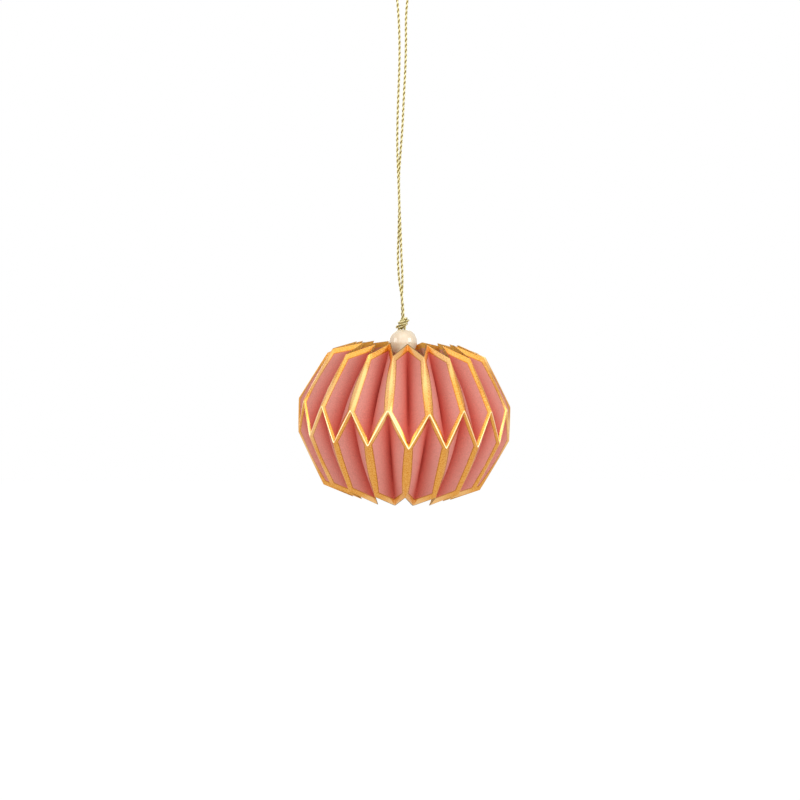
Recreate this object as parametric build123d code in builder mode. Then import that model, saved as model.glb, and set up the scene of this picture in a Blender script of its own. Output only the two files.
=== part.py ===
"""A pleated paper ball that hangs from a bead on a doubled twisted cord.

One paper strip has upright folds that change from outward to inward across a zigzag fold at
its middle. Closed to a ring, it makes a ball of upper and lower cells, each a long hexagon.
A card strip under the top opening carries the ball on the cord's stop knot, and two card
tabs with disc magnets hold the ends of the paper strip together at the back.

Frame: the origin is where a hook carries the cord's loop, +Z is up and the front faces -Y.
Lengths are in millimetres and angles in degrees.
"""

import os
from math import acos, cos, pi, radians, sin, tan

from build123d import *

# The folded sheet, measured about its own centre
pleats = 18
across = 80.0  # over the widest outer folds
knee_height = 12.6  # of the zigzag fold round the middle
fold_end_across = 60.2  # over the outer folds at the cut edge
fold_end_height = 49.8  # between the ends of the upper and lower outer folds
tip_across = 39.0  # over the inner folds at the cut edge
tip_height = 58.3  # between the upper and lower tips
paper = 0.35
seam_gap = 0.3  # between the strip's two ends

# How the ball hangs
bead_drop = 133.95  # from the hook to the bead's top
shade_shift = 0.42  # of the centre to the right of the hook
shade_lean = 2.3  # of the ball's top to the right
shade_turn = 1.8  # of the front cell to the right

# Card strip across the top opening
card = 0.5
glue_gap = 0.05
strip_depth = 4.34  # of its upper face below the tips
strip_width = 7.0
strip_flap = 7.0  # height of its folded ends
strip_hole = 2.6

# Tabs and magnets that hold the strip's ends together
tab_top = -3.0
tab_height = 10.0
tab_width = 7.0
tab_corner = 1.5
magnet_across = 6.0
magnet_thickness = 1.0

# Bead and knots
bead_across = 10.6
bead_height = 9.0
bead_bore = 3.0
bead_end = 5.0  # across the flat round each end of the bore
bead_offset = -1.6  # from the ball's axis
upper_knot_length = 6.0
upper_knot_width = 3.6
upper_knot_lean = 39.0  # of its long axis above level
upper_knot_rise = 2.2  # of its centre above the bead
upper_knot_offset = -0.45  # from the bead's axis
lower_knot_length = 4.8
lower_knot_width = 4.2
lower_knot_gap = 0.1
knot_round = 0.42  # of a knot's rounding, as a share of its width
tail_ends = 4.0  # of the two cut ends below the lower knot

# Cord: diameter, and the route of the loop from the knot up the first leg and down the second
cord_across = 1.0
cord_gap = 0.1  # between the two legs where they lie side by side
bend_share = 0.45  # of a run that a bend at its end takes
first_leg = [
    (-0.27, 0.50, -130.8),
    (-0.27, 0.50, -126.7),
    (-0.45, 0.60, -121.1),
    (-0.12, 0.10, -115.3),
    (-0.60, -0.10, -107.0),
    (-0.85, -0.45, -98.8),
    (-1.35, -0.62, -87.6),
    (-1.72, -0.58, -78.1),
    (-2.14, -0.15, -68.1),
    (-2.12, 0.05, -60.0),
    (-1.82, 0.08, -49.1),
    (-1.12, 0.00, -32.0),
    (-1.74, -0.05, -15.4),
    (-3.65, 0.00, -1.36),
]
loop_top = (0.0, 0.0, 1.1)
second_leg = [
    (3.65, 0.00, -1.36),
    (0.98, 0.05, -15.4),
    (1.16, 0.00, -32.0),
    (0.26, -0.08, -49.1),
    (-0.24, 0.02, -60.0),
    (-0.92, 0.25, -68.1),
    (-1.62, 0.60, -78.1),
    (-1.36, 0.58, -87.6),
    (-1.66, 0.45, -98.8),
    (-1.95, 0.12, -107.0),
    (-1.52, -0.10, -115.3),
    (-0.52, -0.60, -121.1),
    (0.15, -0.50, -126.7),
    (0.15, -0.50, -130.8),
]

# Worked out from the sizes above
half_pitch = 180 / pleats
equator = across / 2
knee = knee_height / 2
rim_slope = (tip_height - fold_end_height) / (fold_end_across - tip_across)
rim_apex = tip_height / 2 + rim_slope * tip_across / 2
strip_level = tip_height / 2 - strip_depth
bead_rise = (strip_level + bead_height) * cos(radians(shade_lean))
shade_drop = bead_drop + bead_rise - bead_offset * sin(radians(shade_lean))

# The ball's own plane: its centre, its lean to the right and its turn on the cord
hang = Plane(
    origin=(shade_shift, 0, -shade_drop),
    x_dir=(cos(radians(shade_lean)), 0, -sin(radians(shade_lean))),
    z_dir=(sin(radians(shade_lean)), 0, cos(radians(shade_lean))),
)
turned = Plane(hang.location * Rot(0, 0, shade_turn))
bead_foot = hang.offset(strip_level).from_local_coords(Vector(bead_offset, 0, 0))
bead_axis = Axis(bead_foot, hang.z_dir)


def upright(angle):
    """The upright plane through the ball's axis at that angle, with x outwards and y up."""
    return Plane(turned.location * Rot(0, 0, angle) * Plane.XZ.location)


def at(point, angle, half=1):
    """A point of the upper half, given by radius and height, at that angle. Half -1 mirrors it down."""
    radius, height = point
    return Vector(radius * cos(radians(angle)), radius * sin(radians(angle)), half * height)


def face_line(corners, angle):
    """The line that the face through three corners cuts in the upright plane at that angle.

    It is a, b, c with a * radius + b * height = c, measured outwards square to the face.
    """
    first, second, third = corners
    normal = (second - first).cross(third - first).normalized()
    out = at((1, 0), angle)
    way = 1 if normal.dot(out) > 0 else -1
    return way * normal.dot(out), way * normal.Z, way * normal.dot(first)


def crossing(first, second):
    """Radius and height of the point where two such lines cross."""
    a, b, c = first
    d, e, f = second
    return (c * e - b * f) / (a * e - b * d), (a * f - c * d) / (a * e - b * d)


# Each side of a pleat is two flat faces, bent along the line from fold end to foot
knee_corner = at((equator, knee), 0)
foot_corner = at((equator, -knee), half_pitch)
fold_end_corner = at((fold_end_across / 2, fold_end_height / 2), 0)
tip_corner = at((tip_across / 2, tip_height / 2), half_pitch)
ridge_line = face_line((knee_corner, foot_corner, fold_end_corner), 0)
valley_line = face_line((fold_end_corner, foot_corner, tip_corner), half_pitch)


def fold_points(inset):
    """Knee, fold end and tip of the upper half, as radius and height, with its faces moved in."""
    ridge = (*ridge_line[:2], ridge_line[2] - inset)
    valley = (*valley_line[:2], valley_line[2] - inset)
    lower_valley = (valley[0], -valley[1], valley[2])
    rim = (rim_slope, 1, rim_apex)
    return crossing(ridge, lower_valley), crossing(ridge, rim), crossing(valley, rim)


def inner_edge(z):
    """Radius of the sheet's inner face along an upper inner fold at height z."""
    a, b, c = valley_line
    return (c - paper - b * z) / a


def pleat_side(half, ridge, valley):
    """One side of a pleat: two faces outside, two inside and the cut edge between them."""
    skins = []
    faces = []
    for inset in (0, paper):
        knee_point, fold_end, tip = fold_points(inset)
        top = at(fold_end, ridge, half)
        bottom = at((knee_point[0], -knee_point[1]), valley, half)
        inner_top = at(tip, valley, half)
        faces.append((at(knee_point, ridge, half), bottom, top))
        faces.append((top, bottom, inner_top))
        skins.append((top, inner_top))
    faces.append((*skins[0], *reversed(skins[1])))
    return [Face(Wire.make_polygon(corners)) for corners in faces]


sheet_faces = []
for half in (1, -1):
    for fold in range(pleats):
        ridge = -90 + (2 * fold + (half + 1) / 2) * half_pitch
        for valley in (ridge - half_pitch, ridge + half_pitch):
            sheet_faces += pleat_side(half, ridge, valley)
folded_sheet = Solid(Shell(sheet_faces)).moved(turned.location)

# The strip's ends meet where an upper outer fold runs on into a lower inner fold
seam = upright(90 + half_pitch)

with BuildPart() as pleated_shade:
    add(folded_sheet)
    with BuildSketch(seam):
        Rectangle(across, 2 * rim_apex, align=(Align.MIN, Align.CENTER))
    extrude(amount=seam_gap / 2, both=True, mode=Mode.SUBTRACT)
pleated_shade.part.label = "pleated_shade"

# Card strip from the front inner fold to the back one, its ends folded down onto both folds
flap_level = strip_level - strip_flap
with BuildPart() as hanger_strip:
    with BuildSketch(upright(90)):
        with BuildLine():
            top_end = (inner_edge(strip_level) - glue_gap, strip_level)
            flap_end = (inner_edge(flap_level) - glue_gap, flap_level)
            Polyline((-flap_end[0], flap_end[1]), (-top_end[0], top_end[1]), top_end, flap_end)
            offset(amount=card, side=Side.RIGHT)
        make_face()
    extrude(amount=strip_width / 2, both=True)
    with BuildSketch(hang.offset(strip_level)):
        with Locations((bead_offset, 0)):
            Circle(strip_hole / 2)
    extrude(amount=-2 * card, mode=Mode.SUBTRACT)
hanger_strip.part.label = "hanger_strip"

# The bead stands on the strip, round its hole
end_angle = acos(bead_end / bead_across)
shoulder = bead_height / 2 / sin(end_angle)
side_angles = [share * end_angle for share in (-1, -0.5, 0, 0.5, 1)]
with BuildPart() as wooden_bead:
    with BuildSketch(Plane(bead_foot + hang.z_dir * bead_height / 2, hang.x_dir, -hang.y_dir)):
        with BuildLine():
            side = Spline(*[(bead_across / 2 * cos(a), shoulder * sin(a)) for a in side_angles])
            bore_edge = [(bead_bore / 2, bead_height / 2), (bead_bore / 2, -bead_height / 2)]
            Polyline(side @ 1, *bore_edge, side @ 0)
        make_face()
    revolve(axis=bead_axis)
wooden_bead.part.label = "wooden_bead"


def knot(centre, length, width, lean):
    """The outer shape of a pulled-up knot: a well rounded barrel with its long axis leaning."""
    long_way = Vector(cos(radians(lean)), 0, sin(radians(lean)))
    with BuildPart() as lump:
        with BuildSketch(Plane(centre, long_way, (0, -1, 0))):
            RectangleRounded(length, width, knot_round * width)
            Rectangle(length, width, align=(Align.CENTER, Align.MIN), mode=Mode.SUBTRACT)
        revolve(axis=Axis(centre, long_way))
    return lump.part


knot_rise = hang.z_dir * (bead_height + upper_knot_rise)
knot_centre = bead_foot + knot_rise + hang.x_dir * upper_knot_offset
upper_lump = knot(knot_centre, upper_knot_length, upper_knot_width, upper_knot_lean)
stop_drop = card + lower_knot_gap + lower_knot_width / 2
stop_centre = bead_foot - hang.z_dir * stop_drop
stop_lump = knot(stop_centre, lower_knot_length, lower_knot_width, -shade_lean)

# The upper knot is pulled down onto the bead
with BuildPart() as upper_knot:
    add(upper_lump)
    add(wooden_bead.part, mode=Mode.SUBTRACT)
upper_knot.part.label = "upper_knot"

tail_spread = cord_across + cord_gap

# Two cord ends side by side through the bead and the strip
with BuildPart() as cord_tail:
    with BuildSketch(hang.offset(strip_level - stop_drop)):
        with Locations((bead_offset - tail_spread / 2, 0), (bead_offset + tail_spread / 2, 0)):
            Circle(cord_across / 2)
    extrude(amount=stop_drop + bead_height + upper_knot_rise)
    add(upper_lump, mode=Mode.SUBTRACT)
    add(stop_lump, mode=Mode.SUBTRACT)
cord_tail.part.label = "cord_tail"

# Stop knot, with the two cut ends below it
with BuildPart() as lower_knot:
    add(stop_lump)
    with BuildSketch(hang.offset(strip_level - stop_drop)):
        with Locations((bead_offset - tail_spread / 2, 0), (bead_offset + tail_spread / 2, 0)):
            Circle(cord_across / 2)
    extrude(amount=-lower_knot_width / 2 - tail_ends)
lower_knot.part.label = "lower_knot"

# Hanging loop: straight runs joined by arcs as large as the runs allow
route = [Vector(*point) for point in first_leg + [loop_top] + second_leg]
bends = []
for before, corner, after in zip(route, route[1:], route[2:]):
    turn = (corner - before).get_angle(after - corner)
    shorter = min((corner - before).length, (after - corner).length)
    bends.append(bend_share * shorter / tan(radians(turn / 2)))
print("cord bend radii, mm:", [round(bend, 1) for bend in bends])

with BuildPart() as hanging_cord:
    with BuildLine() as loop:
        FilletPolyline(*route, radius=bends)
    with BuildSketch(Plane(loop.line @ 0, z_dir=loop.line % 0)):
        Circle(cord_across / 2)
    sweep()
    add(upper_lump, mode=Mode.SUBTRACT)
hanging_cord.part.label = "hanging_cord"

# Card tabs that stand inwards from the seam, back to back, each with a magnet on its far face
tab_foot = tab_top - tab_height
tab_reach = inner_edge(-tab_top) - glue_gap
foot_reach = inner_edge(-tab_foot) - glue_gap
magnet_place = ((tab_reach + foot_reach - tab_width) / 2, (tab_top + tab_foot) / 2)
closing = {}
for side, name in ((1, "left"), (-1, "right")):
    face = side * seam_gap / 2
    with BuildPart() as tab:
        with BuildSketch(seam.offset(face)) as outline:
            Polygon(
                (tab_reach, tab_top),
                (tab_reach - tab_width, tab_top),
                (foot_reach - tab_width, tab_foot),
                (foot_reach, tab_foot),
                align=None,
            )
            inner_corners = outline.vertices().sort_by(Axis(seam.origin, seam.x_dir))[:2]
            fillet(inner_corners, radius=tab_corner)
        extrude(amount=side * card)
    with BuildPart() as magnet:
        with BuildSketch(seam.offset(face + side * card)):
            with Locations(magnet_place):
                Circle(magnet_across / 2)
        extrude(amount=side * magnet_thickness)
    tab.part.label = f"closing_tab_{name}"
    magnet.part.label = f"closing_magnet_{name}"
    closing[tab.part.label] = tab.part
    closing[magnet.part.label] = magnet.part

os.makedirs("parts", exist_ok=True)
export_step(pleated_shade.part, "parts/pleated_shade.step")
export_step(hanger_strip.part, "parts/hanger_strip.step")
export_step(wooden_bead.part, "parts/wooden_bead.step")
export_step(upper_knot.part, "parts/upper_knot.step")
export_step(cord_tail.part, "parts/cord_tail.step")
export_step(lower_knot.part, "parts/lower_knot.step")
export_step(hanging_cord.part, "parts/hanging_cord.step")
for name, piece in closing.items():
    export_step(piece, f"parts/{name}.step")

cord_length = loop.wire().length
cord_run = pi * (cord_across / 2) ** 2 * cord_length
print("cord length, mm:", round(cord_length, 1))
print("cord volume, mm3:", round(hanging_cord.part.volume, 1), "of", round(cord_run, 1))
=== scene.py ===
"""Pleated paper ball on a twisted cord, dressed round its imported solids.

The frame is loaded first, so that every piece goes where its solid is. Each operator makes
one piece or a group of like pieces. Lengths are metres and angles radians, but for the tables
that say otherwise.
"""

import math

import bpy
import numpy as np
from bpy.props import FloatProperty, FloatVectorProperty, IntProperty, PointerProperty
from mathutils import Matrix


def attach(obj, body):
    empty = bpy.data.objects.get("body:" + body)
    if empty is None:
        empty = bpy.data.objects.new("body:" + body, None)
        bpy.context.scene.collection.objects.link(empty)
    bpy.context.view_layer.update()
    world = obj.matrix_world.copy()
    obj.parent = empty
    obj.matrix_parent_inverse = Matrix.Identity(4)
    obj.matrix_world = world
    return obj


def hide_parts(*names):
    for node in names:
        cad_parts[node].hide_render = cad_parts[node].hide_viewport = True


bl_info = {
    "name": "Pleated Paper Ornament",
    "version": (1, 0, 0),
    "blender": (4, 5, 0),
    "location": "View3D > Sidebar > Ornament",
    "description": "Makes a pleated paper ball with foil edges, its bead and its twisted cord",
    "category": "Add Mesh",
}

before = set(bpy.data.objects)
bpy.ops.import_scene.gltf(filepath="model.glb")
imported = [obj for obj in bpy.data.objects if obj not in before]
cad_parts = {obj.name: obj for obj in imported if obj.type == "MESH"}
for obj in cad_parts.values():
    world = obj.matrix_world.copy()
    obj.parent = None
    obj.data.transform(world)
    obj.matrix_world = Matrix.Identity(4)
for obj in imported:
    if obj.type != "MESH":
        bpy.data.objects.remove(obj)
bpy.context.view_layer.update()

MM = 0.001

# Route of the hanging loop in millimetres, from the knot up one leg and down the other
FIRST_LEG = (
    (-0.27, 0.50, -130.8),
    (-0.27, 0.50, -126.7),
    (-0.45, 0.60, -121.1),
    (-0.12, 0.10, -115.3),
    (-0.60, -0.10, -107.0),
    (-0.85, -0.45, -98.8),
    (-1.35, -0.62, -87.6),
    (-1.72, -0.58, -78.1),
    (-2.14, -0.15, -68.1),
    (-2.12, 0.05, -60.0),
    (-1.82, 0.08, -49.1),
    (-1.12, 0.00, -32.0),
    (-1.74, -0.05, -15.4),
    (-3.65, 0.00, -1.36),
)
LOOP_TOP = (0.0, 0.0, 1.1)
SECOND_LEG = (
    (3.65, 0.00, -1.36),
    (0.98, 0.05, -15.4),
    (1.16, 0.00, -32.0),
    (0.26, -0.08, -49.1),
    (-0.24, 0.02, -60.0),
    (-0.92, 0.25, -68.1),
    (-1.62, 0.60, -78.1),
    (-1.36, 0.58, -87.6),
    (-1.66, 0.45, -98.8),
    (-1.95, 0.12, -107.0),
    (-1.52, -0.10, -115.3),
    (-0.52, -0.60, -121.1),
    (0.15, -0.50, -126.7),
    (0.15, -0.50, -130.8),
)
LOOP_STEP = 0.00021  # between points along the loop
KNOT_STEP = 0.0002  # between points along the knots and the tail

# Wraps of a knot: reach, depth and rise, their turns, and the angle at which they start
UPPER_WRAPS = (0.0024, 0.00145, 0.0010, 2.0, 2.0)
LOWER_WRAPS = (0.0019, 0.0016, 0.0011, 1.6, 1.0)
WRAP_SWELL = 0.45  # power by which the wraps grow from the knot's ends
WRAP_POINTS = 300
UPPER_LEAN = math.radians(39)
UPPER_LIFT = 0.0022  # of the upper knot's centre above the bead
UPPER_SHIFT = 0.00045  # of its centre to the left
UPPER_CORE = 0.0016  # of its straight ends above its centre
TAIL_DROP = 0.0008  # of the tail below the bead's foot
LOWER_DROP = 0.0027  # of the stop knot's centre below the bead's foot
LOWER_CORE = 0.0019  # of its straight ends above its centre
LOWER_ENDS = 0.0060  # of its cut ends below its centre
LOWER_SPREAD = 1.2  # of its cut ends
PAIR_SHARE = 0.52  # of the cord's diameter, from the middle to each of a pair
PLY_SHARE = 0.275  # of the cord's diameter, for the radius of a ply
FILAMENTS = (9, 620)  # round a ply, and per metre along it

# How single folds depart from an even pattern: fold, turn in degrees and rise in millimetres.
# Folds count to the right from the front one
TOP_EDGE = (
    (-10, 0.0, -0.6),
    (-8, 2.0, -1.2),
    (-7, 0.8, 1.0),
    (-6, 3.0, -0.4),
    (-5, 0.3, -0.5),
    (-4, 1.5, -0.7),
    (-3, 0.3, -0.2),
    (-1, -1.4, 0.0),
    (0, -1.7, -0.2),
    (1, -0.3, 0.1),
    (3, -1.1, -0.2),
    (5, -1.6, -0.3),
    (7, 0.8, -0.2),
    (10, 0.0, -0.6),
)
MIDDLE = (
    (-11, 0.0, 0.0),
    (-8, -0.5, 1.0),
    (-6, -0.4, 0.6),
    (-5, -0.4, 0.1),
    (-4, -0.3, -0.2),
    (-3, -0.7, -0.5),
    (-2, -0.3, -0.2),
    (-1, -0.5, 0.4),
    (0, 0.7, -0.5),
    (1, 0.6, -0.4),
    (2, 0.3, 0.0),
    (3, -0.3, 1.0),
    (4, -0.3, 0.0),
    (5, -0.8, 0.5),
    (6, -0.8, 0.6),
    (8, -0.5, 0.4),
    (11, 0.0, 0.0),
)
BOTTOM_EDGE = (
    (-9, 0.0, 0.0),
    (-6, -1.5, 0.8),
    (-4, -1.1, 0.4),
    (-3, 2.0, -0.5),
    (-2, -0.1, -0.4),
    (-1, 1.6, -0.3),
    (0, 0.7, 0.0),
    (1, 1.4, -0.2),
    (2, 2.4, 0.0),
    (3, 1.0, -0.3),
    (4, 2.0, 0.8),
    (6, 2.0, 0.8),
    (9, 0.0, 0.0),
)

# Lines of the sheet's mesh as shares of a pleat's side and of its height, past the folds
SIDE_LINES = (0.13, 0.19, 0.26, 0.34, 0.42, 0.5)
RISE_LINES = (0.035, 0.06, 0.10, 0.15, 0.21, 0.28, 0.36, 0.44)
RISE_LINES += (0.52, 0.60, 0.68, 0.76, 0.84, 0.90, 0.95, 1.0)
SEAM_SLIT = 0.021  # share of a side cut off at each of the sheet's two ends
SEAM_CLEAR = 0.004  # share of a side in which no line follows the sheet's end

# Finish of the paper and its foil
LINE_SPREAD = (1.05, 1.45, 1.0)  # narrows the foil at the outer fold, zigzag and cut edge
RAGGED = 0.00022  # by which the foil's margin wanders
FOIL_FADE = (0.00008, 0.00015)  # past the foil's width, where it ends
FOIL_SHADE_SPAN = (0.70, 1.02)  # shares of the foil's width over which painted shade darkens it towards its margin
CREASE_HIGHLIGHT_FADE = (0.00010, 0.00034)  # from the zigzag, where the worn foil with its painted highlight ends
FOLD_SHADE_FADE = (0.0022, 0.0092)  # from the outer fold, over which painted shade deepens the paper towards the inner folds
FACE_COLOURS = ("rose", "shaded_rose", "foil", "bright_foil", "highlight_foil", "shaded_foil", "worn_highlight_foil")
FACE_SHINE = (1.0, 0.20, 0.34)
REVERSE_SHINE = (0.45, 0.50, 0.62)

BORE_LIP = 0.00025  # rounding at the ends of the bead's bore
BEAD_SIDES = 128

# Soft lamps: place, size, and the stage value for their power
LAMPS = {
    "key_light": ((0.85, -0.50, 0.14), (0.50, 0.50), "key"),
    "left_light": ((-0.90, -0.42, 0.06), (0.50, 0.60), "left"),
    "front_light": ((0.16, -1.25, -0.05), (2.40, 0.90), "fill"),
    "back_light": ((-0.25, 1.15, 0.25), (1.00, 1.00), "back"),
    "top_light": ((0.0, -0.72, 0.66), (1.30, 0.80), "top"),
}
LAMP_AIM = (0.0, 0.0, -0.16)
SENSOR_WIDTH = 36  # in millimetres
WHITE = (1.0, 1.0, 1.0)
WARM_WHITE = (1.0, 0.985, 0.97)
FLOOR_COLOUR = (0.82, 0.81, 0.80)
FLOOR_REACH = 3.0
FLOOR_LINES = 13
FLOOR_GLOW = 1.09
FLOOR_SHARE = 0.9  # of the glow where the floor is seen directly


def plain_value(name, description, default):
    """A property for a plain number."""
    return FloatProperty(name=name, description=description, default=default)


def length_value(name, description, default):
    """A property for a length in metres."""
    return FloatProperty(
        name=name, description=description, default=default, unit="LENGTH", precision=5
    )


def angle_value(name, description, degrees):
    """A property for an angle."""
    return FloatProperty(
        name=name, description=description, default=math.radians(degrees), subtype="ANGLE"
    )


def colour_value(name, description, default):
    """A property for a colour in linear light."""
    return FloatVectorProperty(
        name=name, description=description, default=default, size=3, subtype="COLOR", min=0, max=1
    )


class PaperValues(bpy.types.PropertyGroup):
    """The folded sheet and its colours"""

    pleats: IntProperty(name="Pleats", description="Outer folds in each half", default=18)
    across: length_value("Across", "Over the widest folds", 0.080)
    knee_height: length_value("Knee height", "Of the zigzag fold round the middle", 0.0126)
    fold_end_across: length_value("Fold end across", "Over the outer folds' ends", 0.0602)
    fold_end_height: length_value("Fold end height", "Between upper and lower ends", 0.0498)
    tip_across: length_value("Tip across", "Over the inner folds' ends", 0.0390)
    tip_height: length_value("Tip height", "Between upper and lower tips", 0.0583)
    thickness: length_value("Thickness", "Of the paper", 0.00035)
    fold_round: plain_value("Fold round", "Share of a side that an outer fold rounds off", 0.085)
    bend: plain_value("Bend", "How sharply a side bends from fold end to foot", 7.0)
    bulge: length_value("Bulge", "Of the middle of a pleat's side", 0.0010)
    back_rise: length_value("Back rise", "Of the upper fold ends at the back", 0.0030)
    foil_width: length_value("Foil width", "On each side of an outer fold", 0.0020)
    rose: colour_value("Rose", "Paper near the outer folds", (0.80, 0.310, 0.256))
    # Painted shade: the paper darkens to this colour towards the inner folds
    shaded_rose: colour_value("Deep rose", "Paper in the inner folds", (0.72, 0.138, 0.098))
    reverse: colour_value("Reverse", "Inside of the paper", (0.92, 0.470, 0.310))
    # Partly the paper's core colour, partly a painted dark outline along the rims
    cut_edge: colour_value("Cut edge", "Core of the paper", (0.30, 0.18, 0.06))
    foil: colour_value("Foil", "Gold foil along the folds", (0.58, 0.220, 0.012))
    bright_foil: colour_value("Bright foil", "Its brighter grains", (0.83, 0.432, 0.125))
    # Painted highlight: the foil turns this pale in random patches
    highlight_foil: colour_value("Pale foil", "Where it is burnished", (0.89, 0.58, 0.27))
    # Painted shade: the foil darkens to this colour towards the margin of its band
    shaded_foil: colour_value("Deep foil", "Towards its pressed margin", (0.40, 0.112, 0.010))
    # Worn foil with a painted highlight along the zigzag fold
    worn_highlight_foil: colour_value("Worn foil", "Along the zigzag fold", (0.97, 0.72, 0.420))
    inner_foil: colour_value("Inner foil", "Inside of the cut edge", (1.00, 0.58, 0.12))


class HangValues(bpy.types.PropertyGroup):
    """How the ball hangs"""

    drop: length_value("Drop", "From the hook to the ball's centre", 0.1678)
    shift: length_value("Shift", "Of the centre to the right of the hook", 0.00042)
    lean: angle_value("Lean", "Of the ball's top to the right", 2.3)
    turn: angle_value("Turn", "Of the front cell to the right", 1.8)
    strip_level: length_value("Strip level", "Card strip above the ball's centre", 0.02481)
    bead_offset: length_value("Bead offset", "From the ball's axis", -0.0016)


class CordValues(bpy.types.PropertyGroup):
    """The twisted cord"""

    across: length_value("Across", "Diameter of the laid cord", 0.0010)
    lay: length_value("Lay", "Length of one turn of the plies", 0.0039)
    plies: IntProperty(name="Plies", description="Strands laid together", default=2)
    gold: colour_value("Gold", "Metallic yarn", (1.00, 0.87, 0.46))
    # Painted shade where the plies lie against each other
    groove_shade: colour_value("Groove", "Between the plies", (0.36, 0.25, 0.055))


class BeadValues(bpy.types.PropertyGroup):
    """The wooden bead"""

    across: length_value("Across", "Diameter", 0.0106)
    height: length_value("Height", "Along the bore", 0.0090)
    end: length_value("End", "Flat round each end of the bore", 0.0050)
    bore: length_value("Bore", "Diameter of the hole", 0.0030)
    pale: colour_value("Pale wood", "Between the grain lines", (1.00, 0.825, 0.60))
    grain: colour_value("Grain", "Grain lines", (0.97, 0.74, 0.50))


class CardValues(bpy.types.PropertyGroup):
    """The card and the magnets"""

    card: colour_value("Card", "White card", (0.86, 0.85, 0.82))
    plating: colour_value("Plating", "Magnets' plating", (0.60, 0.60, 0.62))


class StageValues(bpy.types.PropertyGroup):
    """The camera and the light"""

    camera_x: length_value("Camera side", "Camera to the right of the hook", -0.00112)
    camera_y: length_value("Camera distance", "Camera in front of the hook", -0.500)
    camera_z: length_value("Camera height", "Camera above the hook", -0.12303)
    pitch: angle_value("Pitch", "Camera's look downwards", 4.262)
    lens: plain_value("Lens", "Focal length in millimetres", 60.1)
    floor_drop: length_value("Floor", "Floor below the hook", 0.60)
    ambient: plain_value("Ambient", "Even light from all round", 0.30)
    key: plain_value("Key", "Soft light from the right", 3.0)
    left: plain_value("Left", "Soft light from the left", 2.5)
    fill: plain_value("Fill", "Broad light from the front", 6.6)
    back: plain_value("Back", "Broad light from behind", 5.0)
    top: plain_value("Top", "Broad light from above", 2.8)


def unit(vectors):
    """Vectors scaled to length 1."""
    return vectors / np.linalg.norm(vectors, axis=-1, keepdims=True)


def grid_quads(rows, columns, wrap=False):
    """Quads of a grid of points stored row by row.

    Also gives each corner's row and column, where a wrapped grid's last column counts on.
    """
    row, column = np.meshgrid(
        np.arange(rows - 1), np.arange(columns if wrap else columns - 1), indexing="ij"
    )
    row = row.ravel()[:, None] + np.array([0, 0, 1, 1])
    column = column.ravel()[:, None] + np.array([0, 1, 1, 0])
    return row * columns + column % columns, row, column


def add_object(name, data):
    """An object in the scene for a mesh, a lamp or a camera."""
    thing = bpy.data.objects.new(name, data)
    bpy.context.scene.collection.objects.link(thing)
    return thing


def add_piece(name, points, faces, materials, crease, marks=None, uv=None, corner_values=None):
    """A mesh object at the origin from points in metres, which rides on the ornament's body.

    Edges that bend by more than crease degrees stay sharp. marks gives each face's material, uv
    each corner's place, corner_values named vectors.
    """
    mesh = bpy.data.meshes.new(name)
    mesh.from_pydata(points.tolist(), [], faces)
    for material in materials:
        mesh.materials.append(material)
    if marks is not None:
        mesh.polygons.foreach_set("material_index", np.asarray(marks, np.int32))
    if uv is not None:
        layer = mesh.uv_layers.new(name="surface")
        layer.uv.foreach_set("vector", np.asarray(uv, np.float32).ravel())
    for key, values in (corner_values or {}).items():
        attribute = mesh.attributes.new(key, "FLOAT_VECTOR", "CORNER")
        attribute.data.foreach_set("vector", np.asarray(values, np.float32).ravel())
    mesh.polygons.foreach_set("use_smooth", np.ones(len(faces), bool))
    mesh.set_sharp_from_angle(angle=math.radians(crease))
    mesh.update()
    piece = add_object(name, mesh)
    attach(piece, "root")
    return piece


def hang_axes(hang):
    """The ball's centre and the matrix whose rows are its right, back and up directions."""
    cosine, sine = math.cos(hang.lean), math.sin(hang.lean)
    axes = np.array([[cosine, 0, -sine], [0, 1, 0], [sine, 0, cosine]])
    return np.array([hang.shift, 0, -hang.drop]), axes


def bead_foot(hang):
    """The middle of the bead's foot on the card strip, and the ball's axes."""
    centre, axes = hang_axes(hang)
    return centre + hang.strip_level * axes[2] + hang.bead_offset * axes[0], axes


# Node helpers


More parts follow.
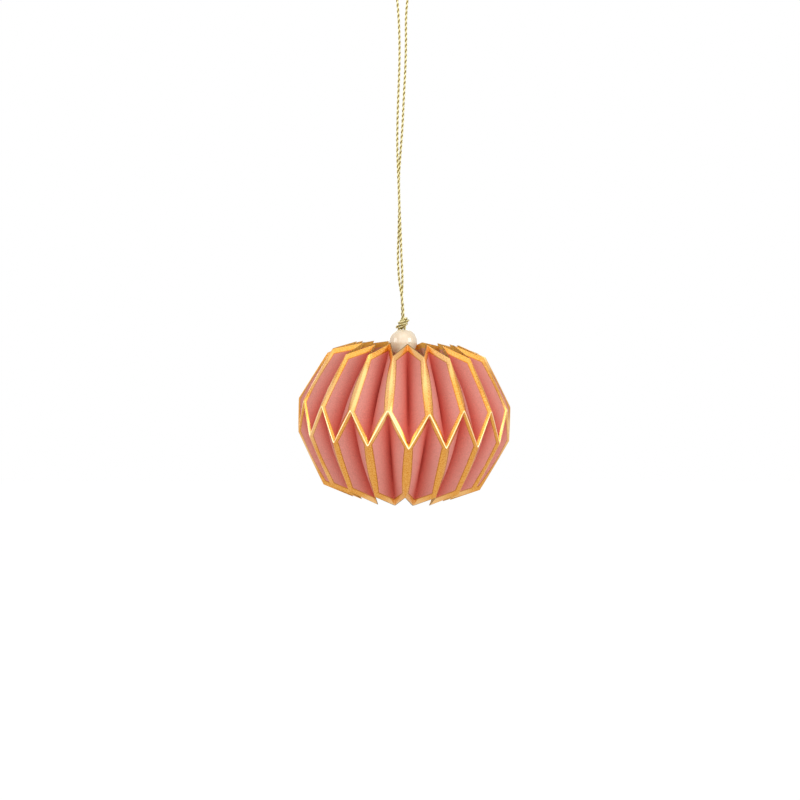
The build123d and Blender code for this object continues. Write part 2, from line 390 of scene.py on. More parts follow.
class Tree:
    """Short ways to fill the emptied node tree of a material or world."""

    def __init__(self, owner):
        owner.use_nodes = True
        self.owner = owner
        self.tree = owner.node_tree
        self.tree.nodes.clear()

    def feed(self, socket, value):
        """Links an output to the socket, or sets it to a plain value."""
        if isinstance(value, bpy.types.NodeSocket):
            self.tree.links.new(value, socket)
        elif socket.type == "RGBA":
            socket.default_value = (*value, 1.0)
        else:
            socket.default_value = value

    def node(self, kind, inputs=None, **values):
        """A node with its values set, and its inputs fed by name or number."""
        node = self.tree.nodes.new(kind)
        for key, value in values.items():
            setattr(node, key, value)
        for key, value in (inputs or {}).items():
            self.feed(node.inputs[key], value)
        return node

    def math(self, operation, *values):
        inputs = dict(enumerate(values))
        return self.node("ShaderNodeMath", inputs, operation=operation).outputs[0]

    def ramp(self, value, low, high, start=0.0, end=1.0):
        """The value carried smoothly from low..high to start..end."""
        inputs = {"Value": value, "From Min": low, "From Max": high, "To Min": start, "To Max": end}
        return self.node("ShaderNodeMapRange", inputs, interpolation_type="SMOOTHSTEP").outputs[0]

    def mix(self, factor, first, second):
        """A colour between two colours."""
        inputs = {"Factor": factor, 6: first, 7: second}
        return self.node("ShaderNodeMix", inputs, data_type="RGBA").outputs[2]

    def blend(self, factor, first, second):
        """A number between two numbers."""
        inputs = {"Factor": factor, 2: first, 3: second}
        return self.node("ShaderNodeMix", inputs, data_type="FLOAT").outputs[0]

    def noise(self, where, scale, detail=2.0, roughness=0.5, stretch=(1, 1, 1), turn=(0, 0, 0)):
        """Noise on the given coordinates, stretched and turned by a mapping."""
        inputs = {"Vector": where, "Scale": stretch, "Rotation": turn}
        mapped = self.node("ShaderNodeMapping", inputs).outputs[0]
        inputs = {"Vector": mapped, "Scale": scale, "Detail": detail, "Roughness": roughness}
        return self.node("ShaderNodeTexNoise", inputs).outputs["Fac"]

    def place(self):
        return self.node("ShaderNodeTexCoord").outputs["Object"]

    def parts(self, vector):
        return self.node("ShaderNodeSeparateXYZ", {0: vector}).outputs

    def bump(self, height, distance, strength):
        inputs = {"Height": height, "Distance": distance, "Strength": strength}
        return self.node("ShaderNodeBump", inputs).outputs["Normal"]

    def principled(self, **values):
        """Ends the tree in a principled shader, its sockets fed by name, and gives its owner."""
        inputs = {key.replace("_", " "): value for key, value in values.items()}
        shader = self.node("ShaderNodeBsdfPrincipled", inputs)
        self.node("ShaderNodeOutputMaterial", {"Surface": shader.outputs["BSDF"]})
        return self.owner

    def shared(self, share, first, second, output):
        """Ends the tree in a mix of two shaders, and gives its owner."""
        mix = self.node("ShaderNodeMixShader", {0: share, 1: first, 2: second})
        self.node(output, {"Surface": mix.outputs[0]})
        return self.owner

    def seen_directly(self):
        """1 for camera, glossy and transmission rays."""
        rays = self.node("ShaderNodeLightPath").outputs
        seen = rays["Is Camera Ray"]
        for name in ("Is Glossy Ray", "Is Transmission Ray"):
            seen = self.math("MAXIMUM", seen, rays[name])
        return seen


def tone(colour, factor):
    """A colour made lighter or darker."""
    return tuple(min(1.0, part * factor) for part in colour)


# Materials


def paper_material(name, colours, foil_width, sides, shine):
    """Paper with a fine tooth and gold foil along the named fold lines.

    The corner attribute fold_distance holds the distances in metres to the outer fold, the
    zigzag fold and the cut edge, and the foil covers the nearest of those in sides. It is
    narrower along the folds than along the cut edge. colours are the paper near the outer fold
    and with painted shade far from it, and the foil, its bright grains, its patches of painted
    highlight, its painted darker reflection towards its margin and its wear with a painted
    highlight along the zigzag. shine is how metallic the foil is and its least and greatest
    roughness.
    """
    near_rose, shaded_rose, foil, bright_foil, highlight_foil, shaded_foil, worn_highlight_foil = colours
    metal, smooth, rough = shine
    tree = Tree(bpy.data.materials.new(name))
    place = tree.place()
    lines = tree.node("ShaderNodeAttribute", attribute_name="fold_distance")
    parts = tree.parts(lines.outputs["Vector"])
    scaled = [tree.math("MULTIPLY", parts[side], LINE_SPREAD[side]) for side in sides]
    near = scaled[0]
    for other in scaled[1:]:
        near = tree.math("MINIMUM", near, other)
    ragged = tree.math("MULTIPLY_ADD", tree.noise(place, 2600, 3), RAGGED, near)
    covered = tree.ramp(ragged, foil_width + FOIL_FADE[0], foil_width + FOIL_FADE[1], 1.0, 0.0)

    speck = tree.ramp(tree.noise(place, 1900, 4, 0.7), 0.70, 0.73)
    patch = tree.ramp(tree.noise(place, 85, 2), 0.50, 0.66)
    whole = tree.math("SUBTRACT", 1.0, tree.math("MULTIPLY", speck, patch))
    foil_share = tree.math("MULTIPLY", covered, whole)

    tooth = tree.noise(place, 3400, 5, 0.65)
    cloud = tree.noise(place, 260, 3)
    # Painted shade: the rose deepens from the outer fold towards the inner folds
    depth = tree.ramp(parts[0], *FOLD_SHADE_FADE)
    rose = tree.mix(depth, near_rose, shaded_rose)
    dark = tree.mix(depth, tone(near_rose, 0.80), tone(shaded_rose, 0.80))
    light = tree.mix(depth, tone(near_rose, 1.16), tone(shaded_rose, 1.16))
    paper = tree.mix(tree.ramp(tooth, 0.30, 0.72), dark, light)
    paper = tree.mix(tree.ramp(cloud, 0.35, 0.70, 0.0, 0.35), paper, rose)

    sparkle = tree.noise(place, 2300, 4, 0.75)
    gold = tree.mix(tree.ramp(sparkle, 0.24, 0.76), foil, bright_foil)
    # Painted highlight: random patches of the foil made pale
    painted_highlight = tree.ramp(tree.noise(place, 48, 1), 0.34, 0.53, 0.60, 0.0)
    gold = tree.mix(painted_highlight, gold, highlight_foil)
    # Painted shade: the foil's darker reflection towards the margin of its band
    foil_edge_shade = tree.ramp(near, FOIL_SHADE_SPAN[0] * foil_width, FOIL_SHADE_SPAN[1] * foil_width, 0.0, 0.90)
    gold = tree.mix(foil_edge_shade, gold, shaded_foil)
    if 1 in sides:
        # Worn foil with a painted highlight along the zigzag fold
        crease = tree.ramp(parts[1], *CREASE_HIGHLIGHT_FADE, 1.0, 0.0)
        gold = tree.mix(crease, gold, worn_highlight_foil)

    gloss = tree.ramp(sparkle, 0.3, 0.7, smooth, rough)
    grain = tree.blend(foil_share, tooth, tree.math("MULTIPLY", sparkle, 0.35))
    return tree.principled(
        Base_Color=tree.mix(foil_share, paper, gold),
        Metallic=tree.math("MULTIPLY", foil_share, metal),
        Roughness=tree.blend(foil_share, 0.86, gloss),
        Normal=tree.bump(grain, 0.00006, 0.55),
        Specular_IOR_Level=0.04,
    )


def edge_material(name, colour):
    """The fibrous core of the paper along its cut edges, dark brown partly in its own colour and
    partly as a painted dark outline along the rims.
    """
    tree = Tree(bpy.data.materials.new(name))
    fibres = tree.noise(tree.place(), 4200, 4, 0.7)
    return tree.principled(
        Base_Color=tree.mix(fibres, tone(colour, 0.72), tone(colour, 1.08)),
        Roughness=0.85,
        Normal=tree.bump(fibres, 0.00004, 0.6),
    )


def yarn_material(name, gold, groove_shade):
    """Metallic filaments that run aslant round each ply, on the ply's own surface map.

    A ply is bright on its crown, with painted shade where it lies against the next one.
    """
    tree = Tree(bpy.data.materials.new(name))
    parts = tree.parts(tree.node("ShaderNodeUVMap", uv_map="surface").outputs[0])
    around = tree.math("MULTIPLY", parts[0], 2 * math.pi)
    across = tree.math("MULTIPLY", around, FILAMENTS[0])
    slant = tree.math("MULTIPLY_ADD", parts[1], 2 * math.pi * FILAMENTS[1], across)
    rib = tree.ramp(tree.math("SINE", slant), -1.0, 0.4)
    # Painted shade: each ply darkens away from its crown, where it lies against the next
    crown = tree.ramp(tree.math("COSINE", around), -0.05, 0.62)
    fleck = tree.noise(tree.place(), 2400, 3, 0.6)
    bright = tree.mix(fleck, tone(gold, 0.86), tone(gold, 1.12))
    bright = tree.mix(rib, tone(gold, 0.72), bright)
    height = tree.math("MULTIPLY_ADD", fleck, 0.5, rib)
    return tree.principled(
        Base_Color=tree.mix(crown, groove_shade, bright),
        Metallic=0.6,
        Roughness=tree.ramp(fleck, 0.3, 0.7, 0.28, 0.50),
        Normal=tree.bump(height, 0.00005, 0.8),
    )


def wood_material(name, pale, grain, lean):
    """Pale close-grained wood under a clear lacquer, its grain along the bead's axis."""
    tree = Tree(bpy.data.materials.new(name))
    place = tree.place()
    turn = (0, -lean, 0)
    bands = tree.noise(place, 520, 4, 0.6, (1, 1, 0.14), turn)
    pores = tree.noise(place, 3000, 3, 0.6, (1, 1, 0.06), turn)
    blush = tree.noise(place, 130, 2)
    colour = tree.mix(tree.ramp(bands, 0.36, 0.68), grain, pale)
    colour = tree.mix(tree.ramp(pores, 0.62, 0.80, 0.0, 0.35), colour, tone(grain, 0.72))
    colour = tree.mix(tree.ramp(blush, 0.4, 0.7, 0.0, 0.5), colour, tone(pale, 1.06))
    return tree.principled(
        Base_Color=colour,
        Roughness=tree.ramp(bands, 0.3, 0.7, 0.62, 0.52),
        Normal=tree.bump(pores, 0.00003, 0.35),
        Coat_Weight=1.0,
        Coat_IOR=1.8,
        Coat_Roughness=0.03,
    )


def card_material(name, colour):
    """White card with a soft fibre mottling."""
    tree = Tree(bpy.data.materials.new(name))
    place = tree.place()
    fibres = tree.noise(place, 2200, 5, 0.7)
    cloud = tree.noise(place, 240, 2)
    face = tree.mix(fibres, tone(colour, 0.93), tone(colour, 1.05))
    face = tree.mix(tree.ramp(cloud, 0.35, 0.7, 0.0, 0.35), face, tone(colour, 0.95))
    bump = tree.bump(fibres, 0.00003, 0.5)
    return tree.principled(Base_Color=face, Roughness=0.8, Normal=bump)


def plating_material(name, colour):
    """Nickel plating with fine handling marks."""
    tree = Tree(bpy.data.materials.new(name))
    marks = tree.noise(tree.place(), 1800, 4, 0.7, (1, 6, 1))
    return tree.principled(
        Base_Color=tree.mix(marks, tone(colour, 0.86), tone(colour, 1.15)),
        Metallic=1.0,
        Roughness=tree.ramp(marks, 0.3, 0.7, 0.18, 0.38),
        Normal=tree.bump(marks, 0.00001, 0.3),
    )


# The folded sheet


def fold_corners(paper, inset):
    """Knee, fold end and tip of the upper half as radius and height, with the faces moved in.

    Each side of a pleat is two flat faces, knee-foot-end and end-foot-tip. In the upright plane
    of a fold a face is a line a * radius + b * height = c, and c less the inset moves it in.
    """
    pitch = math.pi / paper.pleats
    ahead = np.array([1.0, 0, 0])
    around = np.array([math.cos(pitch), math.sin(pitch), 0])
    up = np.array([0, 0, 1.0])
    knee = np.array([paper.across / 2, 0, paper.knee_height / 2])
    foot = paper.across / 2 * around - paper.knee_height / 2 * up
    end = np.array([paper.fold_end_across / 2, 0, paper.fold_end_height / 2])
    tip = paper.tip_across / 2 * around + paper.tip_height / 2 * up
    lines = []
    for first, second, third, out in ((knee, foot, end, ahead), (end, foot, tip, around)):
        normal = unit(np.cross(second - first, third - first))
        normal = normal * np.sign(normal @ out)
        lines.append((normal @ out, normal[2], normal @ first - inset))
    ridge, valley = lines
    slope = (paper.tip_height - paper.fold_end_height) / (paper.fold_end_across - paper.tip_across)
    rim = (slope, 1.0, paper.tip_height / 2 + slope * paper.tip_across / 2)
    lower_valley = (valley[0], -valley[1], valley[2])
    return [
        np.linalg.solve([one[:2], two[:2]], [one[2], two[2]])
        for one, two in ((ridge, lower_valley), (ridge, rim), (valley, rim))
    ]


def bend_share(s, t, softness):
    """Soft form of max(0, s + t - 1) that is s along t = 1 and t along s = 1.

    It is log(1 + (exp(k s) - 1)(exp(k t) - 1) / (exp(k) - 1)) / k for softness k.
    """
    both = np.expm1(softness * s) * np.expm1(softness * t) / np.expm1(softness)
    return np.log1p(both) / softness


def arc_between(share, before, corner, after):
    """A parabola from before to after, which the corner pulls outwards."""
    share = share[..., None]
    return (1 - share) ** 2 * before + 2 * share * (1 - share) * corner + share**2 * after


def line_distance(points, start, end):
    """Distance of points from the straight line through start and end."""
    along = unit(end - start)
    return np.linalg.norm(np.cross(points - start, along), axis=-1)


def departures(table, count):
    """Turn in radians and rise in metres of each fold, carried evenly between those listed."""
    folds, turns, rises = np.array(table).T
    columns = (np.radians(turns), rises * MM)
    return np.stack([np.interp(np.arange(count), folds, part, period=count) for part in columns])


class FoldedSheet:
    """The folded paper as a function of u round the ball and v from -1 to 1 up it.

    u counts the sides of the pleats. Whole odd numbers are outer folds above the zigzag and
    inner folds below it, whole even numbers the other way round. reach is the share of a side
    that outer folds, inner folds and the zigzag round off.
    """

    def __init__(self, paper, inset, reach):
        self.count = 2 * paper.pleats
        self.bend = paper.bend
        self.bulge = paper.bulge
        self.corners = fold_corners(paper, inset)
        self.top = departures(TOP_EDGE, self.count)
        every = np.arange(self.count)
        behind = np.clip(-np.cos(2 * math.pi * every / self.count), 0, 1)
        self.top[1] += paper.back_rise * behind * (every % 2)
        self.middle = departures(MIDDLE, self.count)
        self.bottom = departures(BOTTOM_EDGE, self.count)
        self.reach = reach

    def place(self, corner, fold, half, side, edge):
        """A corner at a fold, in the half 1 or -1 and on its own side, with its departure."""
        index = np.mod(fold, self.count).astype(int)
        if edge:
            turn, rise = np.where(half > 0, self.top[:, index], self.bottom[:, index])
        else:
            turn, rise = self.middle[:, index]
        angle = fold * 2 * math.pi / self.count - math.pi / 2 + turn
        radius, height = corner
        level = side * height + rise
        return np.stack([radius * np.cos(angle), radius * np.sin(angle), level], axis=-1)

    def side(self, u, upper):
        """Knee, foot, end and tip of the side at u, and the share across it from the ridge."""
        cell = np.floor(u)
        ridge_first = (np.mod(cell, 2) == 1) == upper
        s = np.where(ridge_first, u - cell, 1 - u + cell)
        ridge = cell + np.where(ridge_first, 0, 1)
        valley = cell + np.where(ridge_first, 1, 0)
        half = np.where(upper, 1.0, -1.0)
        knee, end, tip = self.corners
        return (
            self.place(knee, ridge, half, half, False),
            self.place(knee, valley, half, -half, False),
            self.place(end, ridge, half, half, True),
            self.place(tip, valley, half, half, True),
            s[..., None],
        )

    def sharp(self, u, v, upper):
        """A point with sharp folds: knee + s (foot - knee) + t (end - knee) + bend (the rest).

        s goes across from the ridge, t = |v| up from the zigzag, and bend(s, t) carries
        knee - foot - end + tip. The side bulges outwards by bulge * 4 s (1 - s) sin(pi t).
        """
        knee, foot, end, tip, s = self.side(u, upper)
        t = np.abs(v)[..., None]
        bend = bend_share(s, t, self.bend)
        flat = knee + s * (foot - knee) + t * (end - knee) + bend * (knee - foot - end + tip)
        normal = unit(np.cross(foot + tip - knee - end, end + tip - knee - foot))
        outwards = np.sign((normal * knee)[..., :2].sum(axis=-1, keepdims=True))
        return flat + self.bulge * 4 * s * (1 - s) * np.sin(math.pi * t) * outwards * normal

    def across(self, u, v):
        """The same with the upright folds rounded off within reach of them."""
        upper = v >= 0
        fold = np.round(u)
        reach = np.where((np.mod(fold, 2) == 1) == upper, self.reach[0], self.reach[1])
        away = u - fold
        share = np.clip((away + reach) / (2 * reach), 0, 1)
        ends = [self.sharp(fold + step * reach, v, upper) for step in (-1, 0, 1)]
        near = np.abs(away)[..., None] < reach[..., None]
        return np.where(near, arc_between(share, *ends), self.sharp(u, v, upper))

    def point(self, u, v):
        """The same with the zigzag fold rounded off too."""
        reach = self.reach[2]
        share = np.clip((v + reach) / (2 * reach), 0, 1)
        ends = [self.across(u, np.full_like(v, level)) for level in (-reach, 0.0, reach)]
        near = np.abs(v)[..., None] < reach
        return np.where(near, arc_between(share, *ends), self.across(u, v))

    def distances(self, u, v, upper):
        """Distances from the outer fold, the zigzag fold and the cut edge."""
        points = self.sharp(u, v, upper)
        knee, foot, end, tip, _ = self.side(u, upper)
        lines = ((knee, end), (knee, foot), (end, tip))
        return np.stack([line_distance(points, *line) for line in lines], axis=-1)


def paired(values, top):
    """Values from 0 to half of top, with their mirror images up to top."""
    values = np.asarray(values)
    return np.unique(np.round(np.concatenate([values, top - values]), 6))


def sheet_lines(paper, reach, sharp, middle):
    """Lines of u round the sheet from end to end and of v up it, closest at the folds.

    The ends meet at the back, where an upper outer fold runs on into a lower inner fold.
    """
    near = [0, 0.5 * sharp, sharp, 0.5 * reach, 0.75 * reach, reach]
    side = paired([*near, *SIDE_LINES], 1.0)
    rise = np.array([0, 0.33 * middle, 0.66 * middle, middle, *RISE_LINES])
    seam = paper.pleats + 1
    first = seam + SEAM_SLIT
    last = seam + 2 * paper.pleats - SEAM_SLIT
    u_line = (seam + np.arange(2 * paper.pleats)[:, None] + side[None, :-1]).ravel()
    kept = (u_line > first + SEAM_CLEAR) & (u_line < last - SEAM_CLEAR)
    v_line = np.concatenate([-rise[:0:-1], rise])
    return np.concatenate([[first], u_line[kept], [last]]), v_line


def sheet_faces(columns, rows, quads, distances):
    """Faces of the outer skin, the inner skin behind it and the cut edges between them.

    With them come their corners' distances from the folds, and the material of each.
    """
    inner = columns * rows
    outwards = [0, 3, 2, 1]
    faces = [quads[:, outwards], quads + inner]
    corners = [distances[:, outwards], distances]
    index = np.arange(inner).reshape(columns, rows)
    for border in (index[:, -1], index[::-1, 0], index[0], index[-1, ::-1]):
        a, b = border[:-1], border[1:]
        faces.append(np.stack([a, b, b + inner, a + inner], axis=1))
        corners.append(np.zeros((len(a), 4, 3)))
    marks = np.repeat([0, 1, 2, 2, 2, 2], [len(part) for part in faces])
    return np.concatenate(faces), np.concatenate(corners), marks


class ORNAMENT_OT_shade(bpy.types.Operator):
    """Fold the paper strip into its ball of upper and lower cells"""

    bl_idname = "ornament.shade"
    bl_label = "Pleated shade"

    def execute(self, context):
        paper = context.scene.ornament_paper
        hang = context.scene.ornament_hang
        reach, sharp, middle = paper.fold_round, 0.3 * paper.fold_round, 0.4 * paper.fold_round
        u_line, v_line = sheet_lines(paper, reach, sharp, middle)
        u, v = np.meshgrid(u_line, v_line, indexing="ij")
        outside = FoldedSheet(paper, 0.0, (reach, sharp, middle))
        inside = FoldedSheet(paper, paper.thickness, (0.3 * sharp, reach, 0.5 * middle))
        skins = [outside.point(u, v), inside.point(u, v)]
        local = np.concatenate([skin.reshape(-1, 3) for skin in skins])
        cosine, sine = math.cos(hang.turn), math.sin(hang.turn)
        spin = np.array([[cosine, sine, 0], [-sine, cosine, 0], [0, 0, 1]])
        centre, axes = hang_axes(hang)
        points = centre + local @ spin @ axes

        quads, row, column = grid_quads(*u.shape)
        corner_u, corner_v = u_line[row], v_line[column]
        upper = np.repeat(corner_v.mean(axis=1)[:, None] > 0, 4, axis=1)
        distances = outside.distances(corner_u, corner_v, upper)
        faces, corners, marks = sheet_faces(*u.shape, quads, distances)
        piece = add_piece(
            "pleated_paper_shade",
            points,
            faces.tolist(),
            self.materials(paper),
            crease=38,
            marks=marks,
            corner_values={"fold_distance": corners},
        )
        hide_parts("pleated_shade")
        return {"FINISHED"}

    def materials(self, paper):
        """The paper's face, its reverse and its cut edge."""
        face = [tuple(getattr(paper, key)) for key in FACE_COLOURS]
        reverse, gold = tuple(paper.reverse), tuple(paper.inner_foil)
        back = (reverse, reverse, gold, tone(gold, 1.1), gold, gold, gold)
        width = paper.foil_width
        return (
            paper_material("rose_paper_foil", face, width, (0, 1, 2), FACE_SHINE),
            paper_material("rose_paper_reverse", back, width, (2,), REVERSE_SHINE),
            edge_material("paper_cut_edge", tuple(paper.cut_edge)),
        )


# Cord, knots and tail


def spline_points(route):
    """Points read from a smooth spline whose control points are the route, in metres."""
    curve = bpy.data.curves.new("cord_route", "CURVE")
    curve.dimensions = "3D"
    curve.resolution_u = 24
    spline = curve.splines.new("NURBS")
    spline.points.add(len(route) - 1)
    controls = np.column_stack([np.array(route) * MM, np.ones(len(route))])
    spline.points.foreach_set("co", controls.ravel())
    spline.order_u = 3
    spline.use_endpoint_u = True
    carrier = bpy.data.objects.new("cord_route", curve)
    mesh = bpy.data.meshes.new_from_object(carrier)
    points = np.empty(len(mesh.vertices) * 3)
    mesh.vertices.foreach_get("co", points)
    bpy.data.objects.remove(carrier)
    bpy.data.curves.remove(curve)
    bpy.data.meshes.remove(mesh)
    return points.reshape(-1, 3)


def lengths_along(points):
    """Length of a line up to each of its points."""
    steps = np.linalg.norm(np.diff(points, axis=0), axis=1)
    return np.concatenate([[0.0], np.cumsum(steps)])


def evenly(points, gap):
    """The same line with its points about gap apart."""
    along = lengths_along(points)
    count = max(2, int(round(along[-1] / gap)) + 1)
    targets = np.linspace(0, along[-1], count)
    return np.stack([np.interp(targets, along, points[:, axis]) for axis in range(3)], axis=1)


def laid_cords(lines, cord, sides=10):
    """Plies laid round lines: points, faces and each corner's place on its ply.

    Each line comes with a direction that it never takes. Ply k runs at the angle
    2 pi (d / lay + k / plies) round the line, d along it, and is a round tube whose rings stand
    square to it.
    """
    ply_radius = PLY_SHARE * cord.across
    swing = cord.across / 2 - ply_radius
    ring = 2 * math.pi * np.arange(sides) / sides
    ring_cosine, ring_sine = np.cos(ring)[None, :, None], np.sin(ring)[None, :, None]
    points, faces, places = [], [], []
    total = 0
    for line, side in lines:
        along = lengths_along(line)
        tangent = unit(np.gradient(line, axis=0))
        first = unit(side - (tangent @ side)[:, None] * tangent)
        second = np.cross(tangent, first)
        quads, row, column = grid_quads(len(line), sides, wrap=True)
        place = np.stack([column / sides, along[row]], axis=-1).reshape(-1, 2)
        for ply in range(cord.plies):
            angle = 2 * math.pi * (along / cord.lay + ply / cord.plies)
            out = np.cos(angle)[:, None] * first + np.sin(angle)[:, None] * second
            core = line + swing * out
            run = unit(np.gradient(core, axis=0))
            one = unit(out - (out * run).sum(axis=1, keepdims=True) * run)
            two = np.cross(run, one)
            rings = ring_cosine * one[:, None] + ring_sine * two[:, None]
            points.append((core[:, None] + ply_radius * rings).reshape(-1, 3))
            faces += (quads + total).tolist()
            faces.append((total + np.arange(sides)[::-1]).tolist())
            faces.append((total + (len(line) - 1) * sides + np.arange(sides)).tolist())
            places += [place, np.zeros((2 * sides, 2))]
            total += len(line) * sides
    return np.concatenate(points), faces, np.concatenate(places)


def straight(start, end, side):
    """A straight line of points, with a direction that it never takes."""
    return evenly(np.stack([start, end]), KNOT_STEP), side


def knot_lines(centre, ways, wraps, cord):
    """Two lines side by side, wound round a ring while they go down through the knot.

    ways are the directions along the ring, across the cords and up. For x from 0 to 1 the angle
    goes evenly through the turns, the place on the ring is reach * cos(angle) along it and
    depth * sin(angle) towards the front, both times sin(pi x) ** WRAP_SWELL, and the height goes
    evenly from rise to -rise.
    """
    long_way, across_way, up = ways
    reach, depth, rise, turns, start = wraps
    front = np.cross(long_way, across_way)
    x = np.linspace(0, 1, WRAP_POINTS)
    grow = np.sin(math.pi * x) ** WRAP_SWELL
    angle = start + 2 * math.pi * turns * x
    middle = (
        centre
        + (reach * grow * np.cos(angle))[:, None] * long_way
        + (depth * grow * np.sin(angle))[:, None] * front
        + (rise * (1 - 2 * x))[:, None] * up
    )
    lanes = (-0.5 * cord.across, 0.5 * cord.across)
    return [(evenly(middle + lane * across_way, KNOT_STEP), across_way) for lane in lanes]


class ORNAMENT_OT_cord(bpy.types.Operator):
    """Lay the metallic cord along its hanging loop, and tie its knots"""

    bl_idname = "ornament.cord"
    bl_label = "Cord and knots"

    def execute(self, context):
        cord = context.scene.ornament_cord
        bead = context.scene.ornament_bead
        yarn = yarn_material("gold_yarn", tuple(cord.gold), tuple(cord.groove_shade))
        route = [*FIRST_LEG, LOOP_TOP, *SECOND_LEG]
        line = evenly(spline_points(route), LOOP_STEP)
        backwards = np.array([0.0, 1.0, 0.0])
        loop = self.lay("hanging_loop_cord", [(line, backwards)], cord, yarn, "hanging_cord")

        foot, axes = bead_foot(context.scene.ornament_hang)
        right, back, up = axes
        head = foot + up * bead.height
        pair = [side * PAIR_SHARE * cord.across * right for side in (-1, 1)]

        centre = head + up * UPPER_LIFT - right * UPPER_SHIFT
        long_way = np.array([math.cos(UPPER_LEAN), 0, math.sin(UPPER_LEAN)])
        across_way = np.array([-math.sin(UPPER_LEAN), 0, math.cos(UPPER_LEAN)])
        lines = knot_lines(centre, (long_way, across_way, up), UPPER_WRAPS, cord)
        start = centre + up * UPPER_CORE
        lines += [straight(start + shift, head + shift, back) for shift in pair]
        upper = self.lay("upper_knot_wraps", lines, cord, yarn, "upper_knot")

        start = foot - up * TAIL_DROP
        lines = [straight(start + shift, head + shift, back) for shift in pair]
        tail = self.lay("cord_through_bead", lines, cord, yarn, "cord_tail")

        centre = foot - up * LOWER_DROP
        lines = knot_lines(centre, (right, up, up), LOWER_WRAPS, cord)
        start, end = centre + up * LOWER_CORE, centre - up * LOWER_ENDS
        lines += [straight(start + shift, end + LOWER_SPREAD * shift, back) for shift in pair]
        lower = self.lay("stop_knot_wraps", lines, cord, yarn, "lower_knot")

        return {"FINISHED"}

    def lay(self, name, lines, cord, yarn, node):
        """One piece from several laid cords, in place of a solid."""
        points, faces, places = laid_cords(lines, cord)
        piece = add_piece(name, points, faces, [yarn], crease=60, uv=places)
        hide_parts(node)
        return piece


class ORNAMENT_OT_bead(bpy.types.Operator):
    """Turn the wooden bead"""

    bl_idname = "ornament.bead"
    bl_label = "Wooden bead"

    def execute(self, context):
        hang = context.scene.ornament_hang
        bead = context.scene.ornament_bead
        foot, axes = bead_foot(hang)
        profile = self.profile(bead)
        angle = 2 * math.pi * np.arange(BEAD_SIDES) / BEAD_SIDES
        radius, height = profile[:, :1], profile[:, 1:]
        x, y = radius * np.cos(angle), radius * np.sin(angle)
        local = np.stack(np.broadcast_arrays(x, y, height), axis=-1).reshape(-1, 3)
        quads, _, _ = grid_quads(len(profile) + 1, BEAD_SIDES, wrap=True)
        faces = (quads % len(local)).tolist()
        points = foot + axes[2] * bead.height / 2 + local @ axes
        wood = wood_material("lacquered_wood", tuple(bead.pale), tuple(bead.grain), hang.lean)
        piece = add_piece("turned_bead", points, faces, [wood], crease=50)
        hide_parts("wooden_bead")
        return {"FINISHED"}

    def profile(self, bead):
        """Radius and height round half of the bead's section: side, upper lip, bore, lower lip.

        The side is part of an ellipse, across / 2 * cos(slope) out and shoulder * sin(slope) up.
        """
        half, hole = bead.height / 2, bead.bore / 2
        end_angle = math.acos(bead.end / bead.across)
        shoulder = half / math.sin(end_angle)
        slope = np.linspace(-end_angle, end_angle, 72)
        side = np.stack([bead.across / 2 * np.cos(slope), shoulder * np.sin(slope)], axis=1)
        turn = np.linspace(0, math.pi / 2, 7)
        lip_out, lip_down = BORE_LIP * (1 - np.sin(turn)), BORE_LIP * (1 - np.cos(turn))
        top = np.stack([hole + lip_out, half - lip_down], axis=1)
        depth = np.linspace(half - BORE_LIP, -half + BORE_LIP, 14)[1:-1]
        wall = np.stack([np.full_like(depth, hole), depth], axis=1)
        bottom = top[::-1] * np.array([1, -1])
        return np.concatenate([side, top, wall, bottom])


class ORNAMENT_OT_card(bpy.types.Operator):
    """Finish the card strip, the tabs and their magnets"""

    bl_idname = "ornament.card"
    bl_label = "Card and magnets"

    def execute(self, context):
        values = context.scene.ornament_card
        card = card_material("white_card_stock", tuple(values.card))
        plating = plating_material("magnet_plating", tuple(values.plating))
        for node in ("hanger_strip", "closing_tab_left", "closing_tab_right"):
            self.finish(node, card)
        for node in ("closing_magnet_left", "closing_magnet_right"):
            self.finish(node, plating)
        return {"FINISHED"}

    def finish(self, node, material):
        """Gives a solid its material."""
        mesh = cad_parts[node].data
        mesh.materials.clear()
        mesh.materials.append(material)


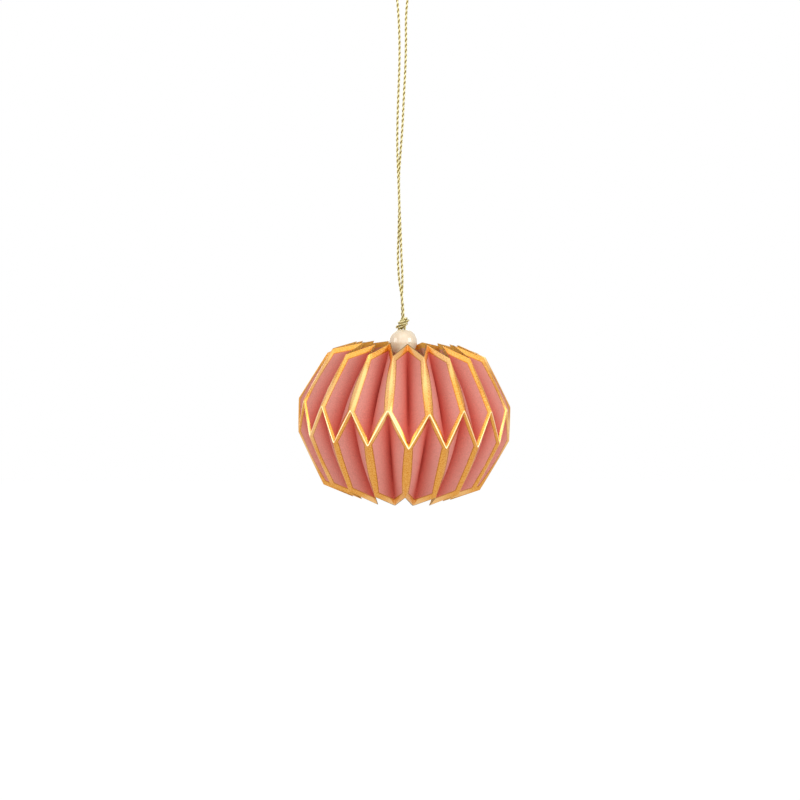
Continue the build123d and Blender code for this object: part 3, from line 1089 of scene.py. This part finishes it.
class ORNAMENT_OT_stage(bpy.types.Operator):
    """Set the camera, the soft lights, the pale floor and the white surround"""

    bl_idname = "ornament.stage"
    bl_label = "Stage"

    def execute(self, context):
        scene = context.scene
        stage = scene.ornament_stage
        scene.view_settings.view_transform = "Standard"
        self.camera(scene, stage)
        self.surround(scene, stage)
        self.floor(stage)
        for name, (place, size, key) in LAMPS.items():
            self.lamp(name, place, size, getattr(stage, key))
        return {"FINISHED"}

    def camera(self, scene, stage):
        camera = bpy.data.cameras.new("photo_camera")
        camera.lens = stage.lens
        camera.sensor_width = SENSOR_WIDTH
        camera.clip_start = 0.01
        holder = add_object("photo_camera", camera)
        holder.location = (stage.camera_x, stage.camera_y, stage.camera_z)
        holder.rotation_euler = (math.pi / 2 - stage.pitch, 0, 0)
        scene.camera = holder

    def lamp(self, name, place, size, power):
        light = bpy.data.lights.new(name, "AREA")
        light.shape = "RECTANGLE"
        light.size, light.size_y = size
        light.energy = power
        holder = add_object(name, light)
        holder.location = place
        back = unit(np.array(place) - np.array(LAMP_AIM))
        holder.rotation_euler = (math.acos(back[2]), 0, math.atan2(back[0], -back[1]))

    def surround(self, scene, stage):
        world = bpy.data.worlds.new("white_surround")
        scene.world = world
        tree = Tree(world)
        inputs = {"Color": WARM_WHITE, "Strength": stage.ambient}
        even = tree.node("ShaderNodeBackground", inputs).outputs[0]
        white = tree.node("ShaderNodeBackground", {"Color": WHITE, "Strength": 1.0}).outputs[0]
        tree.shared(tree.seen_directly(), even, white, "ShaderNodeOutputWorld")

    def floor(self, stage):
        spread = np.linspace(-FLOOR_REACH, FLOOR_REACH, FLOOR_LINES)
        x, y = np.meshgrid(spread, spread, indexing="ij")
        points = np.stack([x, y, np.full_like(x, -stage.floor_drop)], axis=-1).reshape(-1, 3)
        quads, _, _ = grid_quads(FLOOR_LINES, FLOOR_LINES)
        mesh = bpy.data.meshes.new("pale_floor")
        mesh.from_pydata(points.tolist(), [], quads[:, ::-1].tolist())
        tree = Tree(bpy.data.materials.new("pale_floor"))
        matt = tree.node("ShaderNodeBsdfDiffuse", {"Color": FLOOR_COLOUR}).outputs[0]
        glow = tree.node("ShaderNodeEmission", {"Color": WHITE, "Strength": FLOOR_GLOW}).outputs[0]
        share = tree.math("MULTIPLY", tree.seen_directly(), FLOOR_SHARE)
        mesh.materials.append(tree.shared(share, matt, glow, "ShaderNodeOutputMaterial"))
        add_object("pale_floor", mesh)


class ORNAMENT_PT_sidebar(bpy.types.Panel):
    """Lists the ornament's pieces and values"""

    bl_label = "Paper ornament"
    bl_idname = "ORNAMENT_PT_sidebar"
    bl_space_type = "VIEW_3D"
    bl_region_type = "UI"
    bl_category = "Ornament"

    def draw(self, context):
        layout = self.layout
        for operator in OPERATORS:
            layout.operator(operator.bl_idname)
        for key in VALUES:
            group = getattr(context.scene, key)
            box = layout.box()
            box.label(text=key.replace("ornament_", "").capitalize())
            for name in group.__annotations__:
                box.prop(group, name)


OPERATORS = (
    ORNAMENT_OT_stage,
    ORNAMENT_OT_cord,
    ORNAMENT_OT_shade,
    ORNAMENT_OT_bead,
    ORNAMENT_OT_card,
)
VALUES = {
    "ornament_paper": PaperValues,
    "ornament_hang": HangValues,
    "ornament_cord": CordValues,
    "ornament_bead": BeadValues,
    "ornament_card": CardValues,
    "ornament_stage": StageValues,
}


def register():
    """Adds the values, the operators and the panel."""
    for key, group in VALUES.items():
        bpy.utils.register_class(group)
        setattr(bpy.types.Scene, key, PointerProperty(type=group))
    for operator in OPERATORS:
        bpy.utils.register_class(operator)
    bpy.utils.register_class(ORNAMENT_PT_sidebar)


def unregister():
    """Takes them away again."""
    bpy.utils.unregister_class(ORNAMENT_PT_sidebar)
    for operator in OPERATORS:
        bpy.utils.unregister_class(operator)
    for key, group in VALUES.items():
        delattr(bpy.types.Scene, key)
        bpy.utils.unregister_class(group)


def main():
    """Makes the stage and every piece."""
    register()
    bpy.ops.ornament.stage()
    bpy.ops.ornament.cord()
    bpy.ops.ornament.shade()
    bpy.ops.ornament.bead()
    bpy.ops.ornament.card()


if __name__ == "__main__":
    main()
